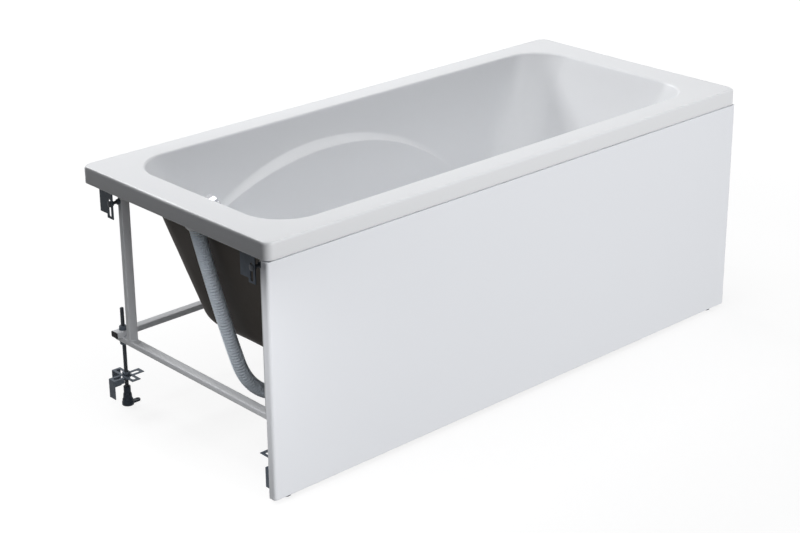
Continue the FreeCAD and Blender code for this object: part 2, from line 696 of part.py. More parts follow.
# Overflow, drawn with its axis upright and then laid square to the end wall
def lay_on_wall(shape):
    shape.Placement = on_wall
    return shape


wall_out = UP * -WALL
gasket_out = wall_out - UP * GASKET_HIGH
flange_out = gasket_out - UP * FLANGE_HIGH
spigot_axis = wall_out - UP * HOSE_OFF_WALL
chamber_out = spigot_axis - UP * (SPIGOT_RADIUS + CHAMBER_WALL)
spigot_end = spigot_axis + ALONG * (HOSE_START + SPIGOT_GRIP)
keep("overflow_gasket", lay_on_wall(ring(FLANGE_RADIUS, OVERFLOW_HOLE, gasket_out, wall_out)))

body = cylinder(FLANGE_RADIUS, flange_out, gasket_out)
body = body.fuse([cylinder(NECK_RADIUS, gasket_out, V()), cylinder(CHAMBER_RADIUS, chamber_out, flange_out),
                  cylinder(SPIGOT_RADIUS, spigot_axis, spigot_end)])
body = body.cut(cylinder(NECK_BORE, chamber_out + UP * CHAMBER_WALL, UP * OVERRUN))
body = body.cut(cylinder(SPIGOT_BORE, spigot_axis, spigot_end + ALONG * OVERRUN))
keep("overflow_body", lay_on_wall(body))

cover_top = UP * COVER_HIGH
cover = ring(COVER_RADIUS, COVER_BORE, V(), cover_top)
for way in (ALONG, ACROSS):
    spoke = stadium(way * -COVER_BORE, way * COVER_BORE, COVER_SPOKE / 2, cover_top)
    cover = cover.fuse(spoke)
cover = cover.fuse(cylinder(HUB_RADIUS, cover_top * -1, cover_top))
cover = cover.cut(bore(SHAFT_RADIUS + SHAFT_CLEAR, cover_top * -1, cover_top))
keep("overflow_cover", lay_on_wall(cover))

knob_foot = cover_top + UP * KNOB_GAP
knob_top = knob_foot + UP * KNOB_HIGH
knob = cylinder(KNOB_RADIUS, knob_foot, knob_top)
knob = knob.makeFillet(KNOB_ROUND, edges_at_height(knob, knob_top.z))
knob = knob.cut(cylinder(KNOB_RADIUS - KNOB_WALL, knob_foot - UP * OVERRUN, knob_top - UP * KNOB_WALL))
knob = knob.fuse(cylinder(SHAFT_RADIUS, cover_top * -1 - UP * SHAFT_TAIL, knob_top - UP * KNOB_WALL / 2))
keep("overflow_knob", lay_on_wall(knob))


# Ribbed hose: four circles for each rib, all with the same start direction
def hose_station(run):
    if run <= hose_straight:
        return hose_top + downhill * run, downhill
    turn = (run - hose_straight) / HOSE_BEND
    if turn <= bend_turn:
        spoke = downhill * math.sin(turn) - inward * math.cos(turn)
        return bend_centre + spoke * HOSE_BEND, downhill * math.cos(turn) + inward * math.sin(turn)
    return bend_to + ALONG * (run - hose_straight - HOSE_BEND * bend_turn), ALONG


def hose_loop(run, radius):
    place, ahead = hose_station(run)
    circle = Part.Circle(place, ahead, radius)
    circle.XAxis = ACROSS
    return Part.Wire(circle.toShape())


pitch = hose_length / HOSE_RIBS
loops = []
for rib in range(HOSE_RIBS):
    for share, radius in zip(rib_station_shares, (HOSE_VALLEY, HOSE_RADIUS, HOSE_RADIUS, HOSE_VALLEY)):
        loops.append(hose_loop((rib + share) * pitch, radius))
loops.append(hose_loop(hose_length, HOSE_VALLEY))
hose = Part.makeLoft(loops, True, True)
bend_degrees = math.degrees(bend_turn)
hose = hose.cut([cylinder(HOSE_BORE, hose_top - downhill * OVERRUN, bend_from),
                 elbow(HOSE_BORE, bend_from, downhill, bend_centre, ACROSS * -1, bend_degrees),
                 cylinder(HOSE_BORE, bend_to, hose_end + ALONG * OVERRUN)])
keep("overflow_hose", hose)
print("hose length", round(hose_length), "ribs", HOSE_RIBS, "bend radius", HOSE_BEND)

# Drain: flange with a spoked hub in the basin floor, cup and tail below it
neck_foot = drain_at - UP * DRAIN_NECK_DEEP
flange_top = drain_at + UP * DRAIN_FLANGE_HIGH
strainer = ring(DRAIN_FLANGE_RADIUS, DRAIN_NECK_BORE, drain_at, flange_top)
strainer = strainer.fuse(ring(DRAIN_NECK, DRAIN_NECK_BORE, neck_foot, drain_at))
for way in (ALONG, ACROSS):
    arm = way * DRAIN_NECK_BORE
    strainer = strainer.fuse(stadium(neck_foot - arm, neck_foot + arm, SPOKE_WIDE / 2, UP * SPOKE_HIGH))
strainer = strainer.fuse(cylinder(HUB_RADIUS, neck_foot, neck_foot + UP * SPOKE_HIGH))
strainer = strainer.cut(bore(SHAFT_RADIUS + SHAFT_CLEAR, neck_foot, neck_foot + UP * SPOKE_HIGH))
keep("drain_flange", strainer)

under_floor = drain_at - UP * WALL
under_gasket = under_floor - UP * GASKET_HIGH
cup_foot = under_gasket - UP * DRAIN_CUP_DEEP
tail_top = cup_foot - UP * DRAIN_CUP_WALL
bend_z = HOSE_LOW + PIPE_BEND
tail_foot = V(DRAIN_X, 0, bend_z + TRAP_LEAD)
cup_bore = DRAIN_NECK + DRAIN_FIT
keep("drain_gasket", ring(DRAIN_BODY_RADIUS, DRAIN_HOLE, under_gasket, under_floor))
cup = cylinder(DRAIN_BODY_RADIUS, under_gasket - UP * DRAIN_BODY_HIGH, under_gasket)
cup = cup.fuse([cylinder(cup_bore + DRAIN_CUP_WALL, tail_top, under_gasket),
                cylinder(PIPE_RADIUS, tail_foot, cup_foot)])
cup = cup.cut(cylinder(cup_bore, cup_foot, under_gasket + UP * OVERRUN))
keep("drain_body", cup.cut(bore(PIPE_BORE, tail_foot, cup_foot)))

plug_foot = flange_top + UP * PLUG_GAP
stem_foot = neck_foot - UP * PLUG_TAIL
plug_top = plug_foot + UP * PLUG_HIGH
plug = cylinder(PLUG_RADIUS, plug_foot, plug_top)
plug = plug.makeFillet(PLUG_ROUND, edges_at_height(plug, plug_top.z))
keep("drain_plug", plug.fuse(cylinder(SHAFT_RADIUS, stem_foot, plug_foot)))


# Trap: a U bend under the drain that turns back to the wall, with the hose joining at its foot
def stepped_nut(wall, wide, narrow, start, shoulder, end):
    outer = wide + wall
    return ring(outer, wide, start, shoulder).fuse(ring(outer, narrow, shoulder, end))


rise_x = DRAIN_X + PIPE_BEND + PIPE_BEND
down_to = V(DRAIN_X, 0, bend_z)
low_point = V(DRAIN_X + PIPE_BEND, 0, HOSE_LOW)
up_from = V(rise_x, 0, bend_z)
up_to = up_from + UP * OUTLET_RISE
turn_centre = up_to + ACROSS * OUTLET_BEND
level_from = turn_centre + UP * OUTLET_BEND
socket_foot = level_from + ACROSS * PIPE_RADIUS
socket_top = tail_foot + UP * SOCKET_DEEP
socket_end = socket_foot + ACROSS * SOCKET_DEEP


def trap_pipe(radius, lead):
    start = tail_foot + UP * lead
    level_end = socket_foot + ACROSS * lead
    pipe = cylinder(radius, start, down_to)
    pipe = pipe.fuse([elbow(radius, down_to, UP, low_point + UP * PIPE_BEND, ACROSS * -1, HALF_TURN),
                      cylinder(radius, up_from, up_to),
                      elbow(radius, up_to, UP, turn_centre, ALONG * -1, UPRIGHT),
                      cylinder(radius, level_from, level_end)])
    return pipe.removeSplitter()


port_start = hose_end - ALONG * SPIGOT_GRIP
cleanout_end = low_point - ACROSS * CLEANOUT_REACH
trap = trap_pipe(PIPE_RADIUS, 0)
trap = trap.fuse([cylinder(SOCKET_RADIUS, tail_foot - UP * SOCKET_SHOULDER, socket_top),
                  cylinder(SOCKET_RADIUS, socket_foot - ACROSS * SOCKET_SHOULDER, socket_end),
                  cylinder(SPIGOT_RADIUS, port_start, low_point),
                  cylinder(CLEANOUT_RADIUS, low_point, cleanout_end)])
trap = trap.cut(trap_pipe(PIPE_BORE, OVERRUN))
trap = trap.cut([cylinder(SOCKET_BORE, tail_foot, socket_top + UP * OVERRUN),
                 cylinder(SOCKET_BORE, socket_foot, socket_end + ACROSS * OVERRUN),
                 cylinder(SPIGOT_BORE, port_start - ALONG * OVERRUN, low_point),
                 cylinder(CLEANOUT_RADIUS - CLEANOUT_WALL, low_point, cleanout_end - ACROSS * OVERRUN)])
keep("trap_bend", trap)
nut_end = socket_end + ACROSS * SLIP_NUT_OVER
outlet = ring(PIPE_RADIUS, PIPE_BORE, socket_foot, socket_foot + ACROSS * OUTLET_LENGTH)
stop = ring(PIPE_RADIUS + STOP_STEP, PIPE_BORE, nut_end, nut_end + ACROSS * STOP_HIGH)
keep("waste_outlet", outlet.fuse(stop))

grip = SLIP_NUT_HIGH - SLIP_NUT_OVER
slip_nuts = []
for mouth, way in ((socket_top, UP), (socket_end, ACROSS)):
    slip_nuts.append(stepped_nut(SLIP_NUT_WALL, SOCKET_RADIUS + SOCKET_CLEAR, SOCKET_BORE,
                                 mouth - way * grip, mouth, mouth + way * SLIP_NUT_OVER))
keep("slip_nuts", *slip_nuts)
keep("hose_nut", stepped_nut(HOSE_NUT_WALL, HOSE_RADIUS + HOSE_NUT_CLEAR, SPIGOT_RADIUS + HOSE_NUT_CLEAR,
                             hose_end - ALONG * HOSE_NUT_HIGH, hose_end, hose_end + ALONG * HOSE_NUT_COLLAR))
cap_end = cleanout_end - ACROSS * CLEANOUT_CAP_HIGH
cap_skirt = cleanout_end + ACROSS * CLEANOUT_CAP_SKIRT
cap_bore = CLEANOUT_RADIUS + CLEANOUT_CLEAR
cap = cylinder(cap_bore + CLEANOUT_WALL, cap_skirt, cap_end)
keep("cleanout_cap", cap.cut(cylinder(cap_bore, cap_skirt + ACROSS * OVERRUN, cleanout_end)))

os.makedirs("parts", exist_ok=True)
for name, shape in nodes.items():
    shape.exportStep(os.path.join("parts", name + ".step"))
print(len(nodes), "nodes,", sum(len(shape.Solids) for shape in nodes.values()), "solids")
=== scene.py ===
import json
import math

import bmesh
import bpy
import numpy as np
from mathutils import Matrix, Vector

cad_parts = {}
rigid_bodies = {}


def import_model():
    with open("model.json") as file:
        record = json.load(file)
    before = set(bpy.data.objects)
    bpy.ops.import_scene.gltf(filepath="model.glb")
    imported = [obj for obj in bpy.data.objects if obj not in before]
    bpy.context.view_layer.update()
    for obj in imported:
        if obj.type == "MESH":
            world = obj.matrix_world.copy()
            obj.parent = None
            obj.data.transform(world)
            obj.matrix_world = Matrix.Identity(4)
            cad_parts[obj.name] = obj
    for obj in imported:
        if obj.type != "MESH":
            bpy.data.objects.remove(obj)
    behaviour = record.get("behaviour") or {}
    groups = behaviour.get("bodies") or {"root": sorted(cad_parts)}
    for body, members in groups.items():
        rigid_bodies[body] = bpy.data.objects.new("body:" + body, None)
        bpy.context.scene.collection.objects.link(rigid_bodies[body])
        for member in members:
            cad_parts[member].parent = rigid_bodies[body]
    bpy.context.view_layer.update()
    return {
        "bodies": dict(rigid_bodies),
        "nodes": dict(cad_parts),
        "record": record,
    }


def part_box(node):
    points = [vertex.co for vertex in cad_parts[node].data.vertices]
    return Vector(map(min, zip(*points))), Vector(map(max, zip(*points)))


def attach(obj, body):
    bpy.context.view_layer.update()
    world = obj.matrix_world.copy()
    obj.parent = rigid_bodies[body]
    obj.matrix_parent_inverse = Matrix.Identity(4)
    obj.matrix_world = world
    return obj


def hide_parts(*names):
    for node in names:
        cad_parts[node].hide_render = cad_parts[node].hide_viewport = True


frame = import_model()
record = frame["record"]
bodyOf = {node: body for body, members in record["behaviour"]["bodies"].items() for node in members}
slotOf = {part["node"]: part["material_slot"] for part in record["subparts"]}
mm = 0.001  # sizes below are in millimetres, meshes in metres
fullTurn = 2 * math.pi
along = np.array((1.0, 0, 0))
across = np.array((0, 1.0, 0))
upward = np.array((0, 0, 1.0))


# shader maths on sockets: an expression adds its Math nodes
class Sock:
    def __init__(self, tree, socket):
        self.tree = tree
        self.socket = socket

    def math(self, operation, first, second):
        node = self.tree.nodes.new("ShaderNodeMath")
        node.operation = operation
        for place, value in enumerate((first, second)):
            if isinstance(value, Sock):
                self.tree.links.new(value.socket, node.inputs[place])
            else:
                node.inputs[place].default_value = value
        return Sock(self.tree, node.outputs[0])

    def __add__(self, other):
        return self.math("ADD", self, other)

    def __sub__(self, other):
        return self.math("SUBTRACT", self, other)

    def __rsub__(self, other):
        return self.math("SUBTRACT", other, self)

    def __mul__(self, other):
        return self.math("MULTIPLY", self, other)

    __radd__ = __add__
    __rmul__ = __mul__


# the nodes of a material or of the world
class Finish:
    def __init__(self, owner):
        owner.use_nodes = True
        self.owner = owner
        self.tree = owner.node_tree
        self.tree.nodes.clear()

    # one node of any type: settings first, then the values or links of its sockets
    def node(self, kind, settings=None, sockets=None, out=0):
        node = self.tree.nodes.new(kind)
        for key, value in (settings or {}).items():
            setattr(node, key, value)
        for key, value in (sockets or {}).items():
            if isinstance(value, Sock):
                self.tree.links.new(value.socket, node.inputs[key])
            else:
                node.inputs[key].default_value = value
        return Sock(self.tree, node.outputs[out]) if node.outputs else node

    def place(self):
        return self.node("ShaderNodeTexCoord", out="Object")

    def noise(self, scale, detail, rough=0.5, stretch=(1, 1, 1)):
        spot = self.node("ShaderNodeMapping", sockets={"Vector": self.place(), "Scale": stretch})
        return self.node("ShaderNodeTexNoise", sockets={"Vector": spot, "Scale": scale, "Detail": detail,
                                                        "Roughness": rough})

    # a colour Mix takes its share in socket 0 and its colours in 6 and 7, and gives its colour in 2
    def mix(self, share, first, second):
        return self.node("ShaderNodeMix", {"data_type": "RGBA"}, {0: share, 6: first, 7: second}, out=2)

    def bump(self, height, distance, strength, under=None):
        sockets = {"Height": height, "Distance": distance, "Strength": strength}
        if under is not None:
            sockets["Normal"] = under
        return self.node("ShaderNodeBump", None, sockets)

    def done(self, **sockets):
        shader = self.node("ShaderNodeBsdfPrincipled", None, {key.replace("_", " "): value
                                                             for key, value in sockets.items()})
        self.node("ShaderNodeOutputMaterial", None, {"Surface": shader})
        return self.owner


def finishOf(name):
    return Finish(bpy.data.materials.new(name))


# an opaque colour, from three parts or from one grey
def paint(*parts):
    return (*(parts if len(parts) == 3 else parts * 3), 1.0)


# in the finishes below a noise is scale, detail, roughness and stretch, and a bump is distance and strength

# cast acrylic: faint clouds of shade and gloss, and a slight orange peel
acrylic = dict(cloud=(3.0, 3), cloudShade=0.985, gloss=(22.0, 3), glossSpread=0.05, peel=(140.0, 2),
               peelBump=(0.00006, 0.35), ior=1.38, coat=0.03, coatRough=0.2)


def acrylicFinish(name, tint, rough):
    f = finishOf(name)
    faded = [part * acrylic["cloudShade"] for part in tint]
    shade = f.mix(f.noise(*acrylic["cloud"]), paint(*faded), paint(*tint))
    gloss = rough + acrylic["glossSpread"] * f.noise(*acrylic["gloss"])
    peel = f.bump(f.noise(*acrylic["peel"]), *acrylic["peelBump"])
    return f.done(Base_Color=shade, Roughness=gloss, IOR=acrylic["ior"], Coat_Weight=acrylic["coat"],
                  Coat_Roughness=acrylic["coatRough"], Normal=peel)


# brushed resin: brown-black patches, paler glass strands, fine specks and broad lumps
brushed = dict(patch=(7.0, 5, 0.6), strands=(90.0, 6, 0.7, (1, 0.35, 0.22)), specks=(420.0, 2),
               lumps=(26.0, 3), dark=(0.013, 0.011, 0.010), pale=(0.040, 0.034, 0.029),
               strand=(0.064, 0.054, 0.045), strandShare=0.35, rough=0.55, roughSpread=0.25, ior=1.26,
               strandHigh=0.7, speckHigh=0.3, fineBump=(0.0005, 0.5), lumpBump=(0.0012, 0.5))


def resinFinish():
    f = finishOf("brushedResin")
    patch = f.noise(*brushed["patch"])
    strands = f.noise(*brushed["strands"])
    shade = f.mix(patch, paint(*brushed["dark"]), paint(*brushed["pale"]))
    shade = f.mix(brushed["strandShare"] * strands, shade, paint(*brushed["strand"]))
    lumps = f.bump(f.noise(*brushed["lumps"]), *brushed["lumpBump"])
    fine = brushed["strandHigh"] * strands + brushed["speckHigh"] * f.noise(*brushed["specks"])
    return f.done(Base_Color=shade, Roughness=brushed["rough"] + brushed["roughSpread"] * patch,
                  IOR=brushed["ior"], Normal=f.bump(fine, *brushed["fineBump"], lumps))


# powder coat: a fine grain under a film of dust
powder = dict(grain=(900.0, 2), dust=(16.0, 5, 0.6), dark=(0.645, 0.66, 0.68), pale=(0.72, 0.73, 0.75),
              rough=0.34, roughSpread=0.18, ior=1.5, grainBump=(0.00012, 0.4))


def powderFinish():
    f = finishOf("greyPowderCoat")
    dust = f.noise(*powder["dust"])
    shade = f.mix(dust, paint(*powder["dark"]), paint(*powder["pale"]))
    return f.done(Base_Color=shade, Roughness=powder["rough"] + powder["roughSpread"] * dust,
                  IOR=powder["ior"], Normal=f.bump(f.noise(*powder["grain"]), *powder["grainBump"]))


# zinc plate: blotches of shade and sheen over fine rolling marks
zinc = dict(blotch=(55.0, 5, 0.65), rolled=(260.0, 3, 0.5, (1, 1, 0.08)), blotchRough=0.2, rolledRough=0.08,
            ior=1.2, rolledBump=(0.00005, 0.35))


def zincFinish(name, dark, pale, rough, sheen):
    f = finishOf(name)
    blotch = f.noise(*zinc["blotch"])
    rolled = f.noise(*zinc["rolled"])
    shade = f.mix(blotch, paint(*dark), paint(*pale))
    rubbed = rough + zinc["blotchRough"] * blotch + zinc["rolledRough"] * rolled
    return f.done(Base_Color=shade, Metallic=sheen * blotch, IOR=zinc["ior"], Roughness=rubbed,
                  Normal=f.bump(rolled, *zinc["rolledBump"]))


# moulded plastic: a slow drift of shade and gloss under a fine grain
moulded = dict(drift=(18.0, 4), roughSpread=0.15, grainScale=700.0, grainDetail=3,
               grainBump=(0.0001, 0.4), ior=1.48)


def mouldedFinish(name, dark, pale, rough, grainScale=moulded["grainScale"], ior=moulded["ior"]):
    f = finishOf(name)
    drift = f.noise(*moulded["drift"])
    grain = f.noise(grainScale, moulded["grainDetail"])
    shade = f.mix(drift, paint(*dark), paint(*pale))
    return f.done(Base_Color=shade, Roughness=rough + moulded["roughSpread"] * drift, IOR=ior,
                  Normal=f.bump(grain, *moulded["grainBump"]))


# polished chrome: faint wipe marks in the gloss
chrome = dict(shade=(0.56, 0.57, 0.60), wipe=(120.0, 4, 0.6, (1, 0.2, 1)), rough=0.035, roughSpread=0.05)


def chromeFinish():
    f = finishOf("polishedChrome")
    wiped = chrome["rough"] + chrome["roughSpread"] * f.noise(*chrome["wipe"])
    return f.done(Base_Color=paint(*chrome["shade"]), Metallic=1.0, Roughness=wiped)


# chipboard: pressed chips, each with its own shade and height
chipboard = dict(stretch=(1, 2.2, 1.5), chipScale=150.0, dark=(0.40, 0.27, 0.15), pale=(0.66, 0.50, 0.31),
                 rough=0.7, roughSpread=0.2, chipBump=(0.0004, 0.6))


def chipboardFinish():
    f = finishOf("pressedChips")
    spot = f.node("ShaderNodeMapping", sockets={"Vector": f.place(), "Scale": chipboard["stretch"]})
    chips = f.node("ShaderNodeTexVoronoi", None, {"Vector": spot, "Scale": chipboard["chipScale"]},
                   out="Color")
    tone = f.node("ShaderNodeSeparateColor", None, {"Color": chips})
    shade = f.mix(tone, paint(*chipboard["dark"]), paint(*chipboard["pale"]))
    return f.done(Base_Color=shade, Roughness=chipboard["rough"] + chipboard["roughSpread"] * tone,
                  Normal=f.bump(tone, *chipboard["chipBump"]))


# sawn timber: long grain with fine pores
timber = dict(grain=(38.0, 6, 0.65, (6, 0.35, 6)), pores=(300.0, 3, 0.5, (5, 0.3, 5)),
              dark=(0.44, 0.29, 0.15), pale=(0.68, 0.50, 0.30), rough=0.62, roughSpread=0.2,
              poreHigh=0.6, grainHigh=0.4, bump=(0.0005, 0.5))


def timberFinish():
    f = finishOf("sawnTimber")
    grain = f.noise(*timber["grain"])
    height = timber["poreHigh"] * f.noise(*timber["pores"]) + timber["grainHigh"] * grain
    shade = f.mix(grain, paint(*timber["dark"]), paint(*timber["pale"]))
    return f.done(Base_Color=shade, Roughness=timber["rough"] + timber["roughSpread"] * grain,
                  Normal=f.bump(height, *timber["bump"]))


finishes = {
    "white_acrylic": acrylicFinish("whiteAcrylic", tint=(0.850, 0.860, 0.877), rough=0.3),
    "brown_resin": resinFinish(),
    "painted_frame": powderFinish(),
    "zinc_steel": zincFinish("blueZincPlate", dark=(0.062, 0.080, 0.104), pale=(0.180, 0.205, 0.240),
                             rough=0.28, sheen=0.2),
    "black_plastic": mouldedFinish("blackCapPlastic", dark=(0.005, 0.005, 0.006), pale=(0.011, 0.011, 0.012),
                                   rough=0.38, ior=1.18),
    "foot_plastic": mouldedFinish("slateFootPlastic", dark=(0.010, 0.016, 0.025), pale=(0.020, 0.030, 0.044),
                                  rough=0.42, ior=1.3),
    "hose_plastic": mouldedFinish("greyHosePlastic", dark=(0.71, 0.78, 0.86), pale=(0.79, 0.86, 0.93),
                                  rough=0.34, grainScale=1200.0),
    "chrome": chromeFinish(),
    "waste_plastic": mouldedFinish("paleWastePlastic", dark=(0.52, 0.54, 0.56), pale=(0.62, 0.64, 0.65),
                                   rough=0.36),
    "seal_rubber": mouldedFinish("sealRubber", dark=(0.010, 0.010, 0.010), pale=(0.022, 0.022, 0.022),
                                 rough=0.6),
    "board_wood": chipboardFinish(),
}
rodFinish = zincFinish("oiledThread", dark=(0.050, 0.055, 0.064), pale=(0.120, 0.130, 0.145),
                       rough=0.3, sheen=0.3)
# hangers: a darker copy of the zinc plate, partly their own dark slate plate and partly painted shade for the
# shadow they sit in under the rim and behind the panel
hangerZincPaintedShade = zincFinish("darkZincPlate", dark=(0.022, 0.030, 0.042), pale=(0.075, 0.090, 0.112),
                          rough=0.28, sheen=0.3)
# pieces whose finish departs from that of their slot
ownFinish = {
    "front_panel": acrylicFinish("panelAcrylic", tint=(0.895, 0.912, 0.948), rough=0.3),
    "rim_battens": timberFinish(),
    "end_hangers": hangerZincPaintedShade,
    "panel_hangers": hangerZincPaintedShade,
    "hanger_bolts": rodFinish,
    **{node: rodFinish for node in slotOf if node.endswith("_rod")},
}
print("finishes:", len(bpy.data.materials))


# quads of a grid that is closed along its columns
def gridFaces(rows, cols, closedRows, start):
    r = np.arange(rows if closedRows else rows - 1)[:, None]
    c = np.arange(cols)[None, :]
    after = (r + 1) % rows
    beside = (c + 1) % cols
    corners = [r * cols + c, r * cols + beside, after * cols + beside, after * cols + c]
    return np.stack(np.broadcast_arrays(*corners), -1).reshape(-1, 4) + start


# gathers closed shells, each a grid of points, into one mesh
class Shell:
    def __init__(self):
        self.points = []
        self.faces = []
        self.count = 0

    def grid(self, points, closedRows=False, capped=False):
        rows, cols = points.shape[:2]
        self.faces += gridFaces(rows, cols, closedRows, self.count).tolist()
        if capped:
            self.faces.append((self.count + np.arange(cols)).tolist())
            self.faces.append((self.count + (rows - 1) * cols + np.arange(cols)).tolist())
        self.points.append(points.reshape(-1, 3))
        self.count += rows * cols
        return self

    def mesh(self, name, sharp):
        mesh = bpy.data.meshes.new(name)
        mesh.from_pydata(np.concatenate(self.points) * mm, [], self.faces)
        work = bmesh.new()
        work.from_mesh(mesh)
        bmesh.ops.recalc_face_normals(work, faces=work.faces)
        work.to_mesh(mesh)
        work.free()
        smoothed(mesh, sharp)
        return mesh


def smoothed(mesh, sharp):
    mesh.shade_smooth()
    mesh.set_sharp_from_angle(angle=math.radians(sharp))


# a node's name as its piece carries it: tub_shell becomes tubShell
def pieceName(node):
    first, *rest = node.split("_")
    return first + "".join(word.title() for word in rest)


# a finished mesh takes the place of its CAD node
def settle(node, mesh):
    piece = bpy.data.objects.new(pieceName(node), mesh)
    bpy.context.scene.collection.objects.link(piece)
    mesh.materials.clear()
    mesh.materials.append(ownFinish.get(node, finishes[slotOf[node]]))
    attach(piece, bodyOf[node])
    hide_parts(node)
    return piece


# copied solids: corners closer than mergeGap become one, faces flat within flatAngle too
dress = dict(mergeGap=0.002, flatAngle=0.5, bevelSteps=2, sharp=35)


def mergedSolids(node):
    work = bmesh.new()
    work.from_mesh(frame["nodes"][node].data)
    bmesh.ops.remove_doubles(work, verts=work.verts, dist=dress["mergeGap"] * mm)
    return work


# a copy of a CAD solid with merged corners, smooth rounds and softened edges
def dressedCopy(node, soften, sharp=dress["sharp"]):
    work = mergedSolids(node)
    bmesh.ops.dissolve_limit(work, angle_limit=math.radians(dress["flatAngle"]),
                             verts=work.verts, edges=work.edges)
    mesh = bpy.data.meshes.new(pieceName(node))
    work.to_mesh(mesh)
    work.free()
    smoothed(mesh, sharp)
    piece = settle(node, mesh)
    if soften:
        edge = piece.modifiers.new("softEdge", "BEVEL")
        edge.width = soften * mm
        edge.segments = dress["bevelSteps"]
        edge.limit_method = "ANGLE"
        edge.angle_limit = math.radians(sharp)
        edge.harden_normals = True


def boxOf(node):
    low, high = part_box(node)
    return np.array(low) / mm, np.array(high) / mm


# the boxes of a node's separate solids
def solidBoxes(node):
    work = mergedSolids(node)
    left = set(work.verts)
    boxes = []
    while left:
        edge = [left.pop()]
        island = []
        while edge:
            vert = edge.pop()
            island.append(vert.co[:])
            fresh = {e.other_vert(vert) for e in vert.link_edges} & left
            left -= fresh
            edge += fresh
        island = np.array(island) / mm
        boxes.append((island.min(0), island.max(0)))
    work.free()
    return sorted(boxes, key=lambda box: tuple(box[0]))


# columns of a rounded rectangle: straight shares fx, fy and corner directions cx, cy
def loopColumns(arc, long, short):
    parts = []
    sides = ((1, 1, -1, 0, long), (0, 1, 0, -1, short), (0, 0, 1, 0, long), (1, 0, 0, 1, short))
    for quarter, (sideX, sideY, stepX, stepY, count) in enumerate(sides):
        turn = (quarter + np.linspace(0, 1, arc)) * fullTurn / 4
        parts.append([np.full(arc, sideX), np.full(arc, sideY), np.cos(turn), np.sin(turn)])
        run = np.linspace(0, 1, count + 2)[1:-1]
        parts.append([sideX + stepX * run, sideY + stepY * run,
                      np.full(count, np.cos(turn[-1])), np.full(count, np.sin(turn[-1]))])
    return np.concatenate([np.array(part, float) for part in parts], axis=1)


# a rounded rectangle at height z: corner centre plus radius times direction
def loopAt(columns, x0, x1, y0, y1, radius, z):
    fx, fy, cx, cy = columns
    x = x0 + radius + (x1 - x0 - 2 * radius) * fx + radius * cx
    y = y0 + radius + (y1 - y0 - 2 * radius) * fy + radius * cy
    return np.stack(np.broadcast_arrays(x, y, z), -1)


# corners: the share of a run that a round may take, the share left to a hollow and its brow, the least reach
rounding = dict(cornerShare=0.46, hollowFill=0.98, least=0.2)


# a closed profile of control loops: each corner becomes an arc of its radius, each run is divided evenly;
# a corner with two shares in place of a radius becomes an elliptic hollow that takes those shares of its runs
def roundedRows(profile):
    loops, radii, arcs, runs = zip(*profile)
    hollows = {k: radius for k, radius in enumerate(radii) if isinstance(radius, tuple)}
    ring = np.stack(loops)
    back = np.roll(ring, 1, axis=0) - ring
    ahead = np.roll(ring, -1, axis=0) - ring
    backRun = np.linalg.norm(back, axis=-1, keepdims=True)
    aheadRun = np.linalg.norm(ahead, axis=-1, keepdims=True)
    back /= backRun
    ahead /= aheadRun
    half = np.arccos(np.clip(-(back * ahead).sum(-1, keepdims=True), -1, 1)) / 2
    radius = np.array([0 if k in hollows else radius for k, radius in enumerate(radii)], float)
    reach = np.clip(radius[:, None, None] * np.tan(half), rounding["least"],
                    rounding["cornerShare"] * np.minimum(backRun, aheadRun))
    backReach, aheadReach = reach.copy(), reach.copy()
    for k, (backShare, aheadShare) in hollows.items():
        backReach[k] = backShare * backRun[k]
        aheadReach[k] = aheadShare * aheadRun[k]
        brow = np.minimum(reach[k + 1], (rounding["hollowFill"] - aheadShare) * aheadRun[k])
        backReach[k + 1] = aheadReach[k + 1] = brow
    weight = np.cos(half)
    begin = ring + back * backReach
    end = ring + ahead * aheadReach
    rows = []
    for k in range(len(ring)):
        t = np.linspace(0, 1, arcs[k])[:, None, None]
        first, middle, last = (1 - t) ** 2, 2 * weight[k] * t * (1 - t), t ** 2
        rows.append((first * begin[k] + middle * ring[k] + last * end[k]) / (first + middle + last))
        s = np.linspace(0, 1, runs[k] + 2)[1:-1, None, None]
        rows.append(end[k] + (begin[(k + 1) % len(ring)] - end[k]) * s)
    return np.concatenate(rows)


# basin: sloping walls with an arched armrest step in each long wall, hollowed along its ledge
tub = dict(leftRim=84, rightRim=88, sideRim=66, leftSlope=18, rightSlope=30, sideSlope=8, openCorner=110,
           rimCorner=20, leastCorner=1, rimEdge=7, skirt=42, wall=5, floorRound=58,
           lipRound=24, lipBand=20, lipStep=8, lipDrop=0.4, bandRound=30,
           archX=-122, archDrop=79, archRadius=690, archPasses=6,
           armReach=480, armDepth=38, armRound=4, hollow=(0.05, 0.66), ledgeDrop=9,
           drainHole=26, holeRound=0.8, footRound=0.8,
           backHole=0.3, backArm=6, backLedge=14, backLip=4, backRim=3, backFoot=0.5,
           cornerSteps=26, longSteps=150, shortSteps=50, sharp=50)
tubLow, tubHigh = boxOf("tub_shell")
rimTop = tubHigh[2]
skirtFoot = rimTop - tub["skirt"]
floorZ = tubLow[2] + tub["wall"]
plugLow, plugHigh = boxOf("drain_plug")
drainX = plugLow[0] / 2 + plugHigh[0] / 2
columns = loopColumns(tub["cornerSteps"], tub["longSteps"], tub["shortSteps"])


def slope(name):
    return math.radians(tub[name + "Slope"])


# the loop of the basin wall at height z, moved out by off: flat walls that lean in with depth
def wallLoop(z, off, inset=0.0):
    depth = rimTop - z
    x0 = tubLow[0] + tub["leftRim"] - off / math.cos(slope("left")) + depth * math.tan(slope("left"))
    x1 = tubHigh[0] - tub["rightRim"] + off / math.cos(slope("right")) - depth * math.tan(slope("right"))
    half = tubHigh[1] - tub["sideRim"] + off / math.cos(slope("side")) - depth * math.tan(slope("side"))
    loop = loopAt(columns, x0, x1, -half, half, tub["openCorner"] + off, z)
    loop[:, 1] -= inset * columns[3] * np.abs(columns[3])
    return loop


